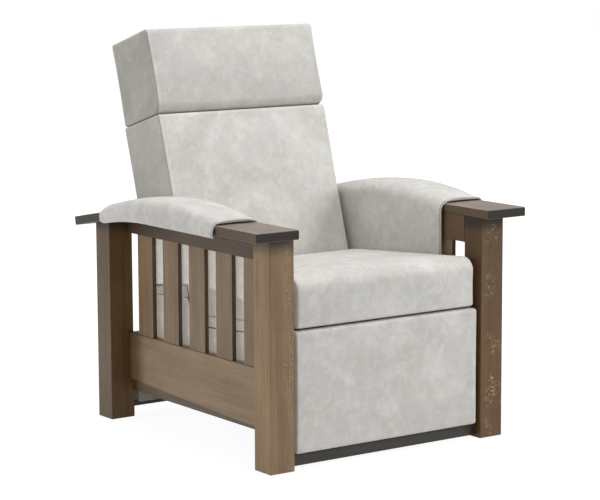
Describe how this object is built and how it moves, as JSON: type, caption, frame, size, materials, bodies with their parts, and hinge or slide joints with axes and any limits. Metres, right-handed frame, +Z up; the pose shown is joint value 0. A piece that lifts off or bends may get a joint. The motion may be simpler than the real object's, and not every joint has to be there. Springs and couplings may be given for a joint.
{
  "type": "reclining armchair",
  "caption": "Mission armchair with square oak posts, slatted sides, bent arms with pads, a back that reclines as the seat glides, and a front panel that swings out as a footrest",
  "frame": {"origin": "on the floor, at the middle of the box around the chair with the footrest in and the back up", "axes": "+Z is up, the chair faces -Y, +X is on the right of someone who looks at its front; left in a node name is the -X side and right is the +X side"},
  "size_m": [0.8896, 0.961, 1.1002],
  "materials": {
    "oak": "satin",
    "upholstery": "matte",
    "dark_oak": "satin",
    "inner_board": "matte",
    "mechanism_steel": "satin",
    "zinc_fasteners": "satin",
    "spring_steel": "satin",
    "felt": "matte",
    "webbing": "matte",
    "glide_plastic": "matte"
  },
  "bodies": {
    "frame": {"arm_pad_left": "upholstery", "arm_pad_right": "upholstery", "base_side_board_left": "inner_board", "base_side_board_right": "inner_board", "bow_arm_left": "oak", "bow_arm_right": "oak", "floor_glides": "glide_plastic", "front_cross_rail": "inner_board", "front_post_left": "oak", "front_post_right": "oak", "front_toe_rail": "dark_oak", "inner_arm_panel_left": "upholstery", "inner_arm_panel_right": "upholstery", "link_brackets": "mechanism_steel", "lower_side_rail_left": "oak", "lower_side_rail_right": "oak", "mechanism_rails": "mechanism_steel", "rail_screws": "zinc_fasteners", "rear_apron": "upholstery", "rear_base_rail": "dark_oak", "rear_cross_rail": "inner_board", "rear_post_left": "oak", "rear_post_right": "oak", "side_slats_left": "oak", "side_slats_right": "oak", "swing_studs": "zinc_fasteners", "upper_side_rail_left": "oak", "upper_side_rail_right": "oak"},
    "seat": {"seat_side_rail_left": "inner_board", "seat_side_rail_right": "inner_board", "seat_side_covers": "upholstery", "seat_front_rail": "inner_board", "seat_rear_rail": "inner_board", "seat_corner_blocks": "inner_board", "seat_springs": "spring_steel", "spring_cover_pad": "felt", "seat_cushion": "upholstery", "side_plates": "mechanism_steel", "plate_studs": "zinc_fasteners", "plate_bolts": "zinc_fasteners"},
    "back": {"back_stiles": "inner_board", "back_rails": "inner_board", "back_straps": "webbing", "lower_back_cushion": "upholstery", "headrest_cushion": "upholstery", "back_brackets": "mechanism_steel", "back_bolts": "zinc_fasteners"},
    "front_links": {"front_links": "mechanism_steel"},
    "rear_links": {"rear_links": "mechanism_steel", "rear_cross_tube": "mechanism_steel"},
    "back_links": {"back_links": "mechanism_steel"},
    "rear_swing_arms": {"rear_swing_arms": "mechanism_steel", "torque_tube": "mechanism_steel"},
    "front_swing_arms": {"front_swing_arms": "mechanism_steel"},
    "reach_arms": {"reach_arms": "mechanism_steel"},
    "upper_reach_arms": {"upper_reach_arms": "mechanism_steel"},
    "footrest": {"footrest_brackets": "mechanism_steel", "footrest_board": "inner_board", "footrest_pad": "upholstery", "bracket_screws": "zinc_fasteners"}
  },
  "joints": [
    {"name": "recline", "type": "hinge", "parent": "frame", "child": "rear_links", "pos_m": [0, 0.1045, 0.088], "axis": [1, 0, 0], "range_deg": [0, 25]},
    {"name": "seat_on_rear_links", "type": "hinge", "parent": "rear_links", "child": "seat", "pos_m": [0, 0.16948, 0.26654], "axis": [1, 0, 0], "range_deg": [-25, 0]},
    {"name": "front_links_swing", "type": "hinge", "parent": "frame", "child": "front_links", "pos_m": [0, -0.0855, 0.088], "axis": [1, 0, 0], "range_deg": [0, 25]},
    {"name": "back_tilt", "type": "hinge", "parent": "seat", "child": "back", "pos_m": [0, 0.1845, 0.285], "axis": [-1, 0, 0], "range_deg": [0, 20]},
    {"name": "back_links_swing", "type": "hinge", "parent": "frame", "child": "back_links", "pos_m": [0, 0.20945, 0.11675], "axis": [1, 0, 0], "range_deg": [0, 25.8]},
    {"name": "footrest_lift", "type": "hinge", "parent": "seat", "child": "rear_swing_arms", "pos_m": [0, -0.2315, 0.302], "axis": [-1, 0, 0], "range_deg": [0, 90]},
    {"name": "front_arms_swing", "type": "hinge", "parent": "seat", "child": "front_swing_arms", "pos_m": [0, -0.28175, 0.33478], "axis": [-1, 0, 0], "range_deg": [0, 90]},
    {"name": "reach_arms_swing", "type": "hinge", "parent": "rear_swing_arms", "child": "reach_arms", "pos_m": [0, -0.1255, 0.095], "axis": [-1, 0, 0], "range_deg": [-90, 0]},
    {"name": "upper_arms_swing", "type": "hinge", "parent": "rear_swing_arms", "child": "upper_reach_arms", "pos_m": [0, -0.14882, 0.14054], "axis": [-1, 0, 0], "range_deg": [-90, 0]},
    {"name": "footrest_tilt", "type": "hinge", "parent": "reach_arms", "child": "footrest", "pos_m": [0, -0.3815, 0.262], "axis": [-1, 0, 0], "range_deg": [0, 90]}
  ],
  "couplings": [
    {"joint": "seat_on_rear_links", "follows": "recline", "ratio": -1},
    {"joint": "front_links_swing", "follows": "recline", "ratio": 1},
    {"joint": "back_tilt", "follows": "recline", "ratio": 0.8},
    {"joint": "back_links_swing", "follows": "recline", "ratio": 1.032},
    {"joint": "front_arms_swing", "follows": "footrest_lift", "ratio": 1},
    {"joint": "reach_arms_swing", "follows": "footrest_lift", "ratio": -1},
    {"joint": "upper_arms_swing", "follows": "footrest_lift", "ratio": -1},
    {"joint": "footrest_tilt", "follows": "footrest_lift", "ratio": 1}
  ]
}
